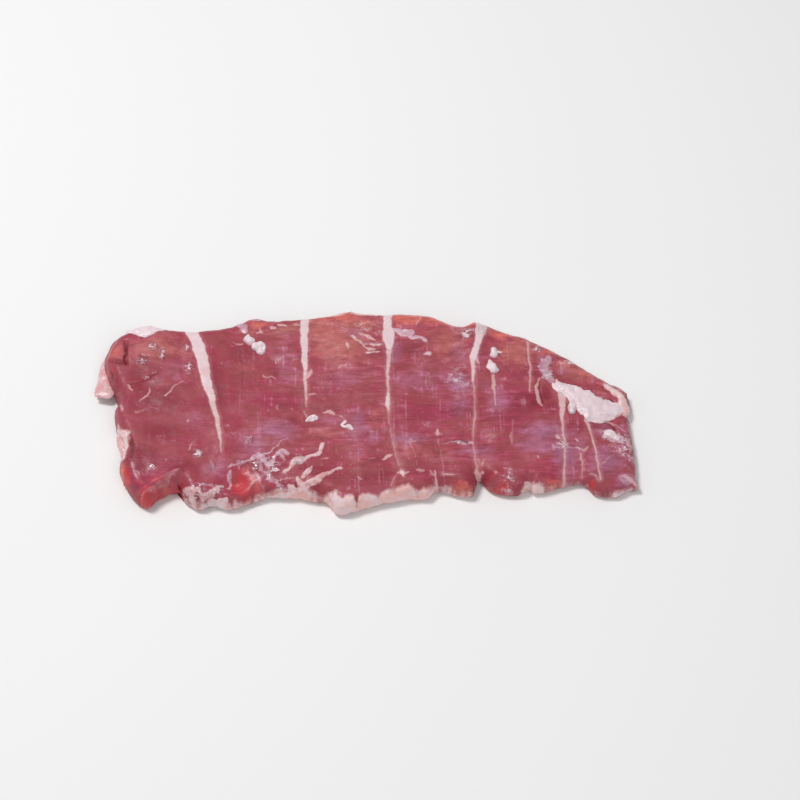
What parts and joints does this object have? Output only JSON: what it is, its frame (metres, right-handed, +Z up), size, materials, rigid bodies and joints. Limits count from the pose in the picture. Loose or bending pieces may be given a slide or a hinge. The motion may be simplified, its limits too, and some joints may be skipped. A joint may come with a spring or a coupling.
{
  "type": "raw pork flank steak",
  "caption": "Thin raw flank steak lying flat: a red slab of muscle crossed by white tendon bands, with soft fat along its front edge and right end.",
  "frame": {"origin": "middle of the underside, on the surface that the steak lies on", "axes": "+X along the length towards the thin end with the large piece of fat, -Y towards the front edge with the fat rim, +Z up out of the shown side"},
  "size_m": [0.2275, 0.1046, 0.0132],
  "materials": {
    "raw_meat": null
  },
  "bodies": {
    "root": {"pork_steak": "raw_meat"}
  },
  "joints": []
}
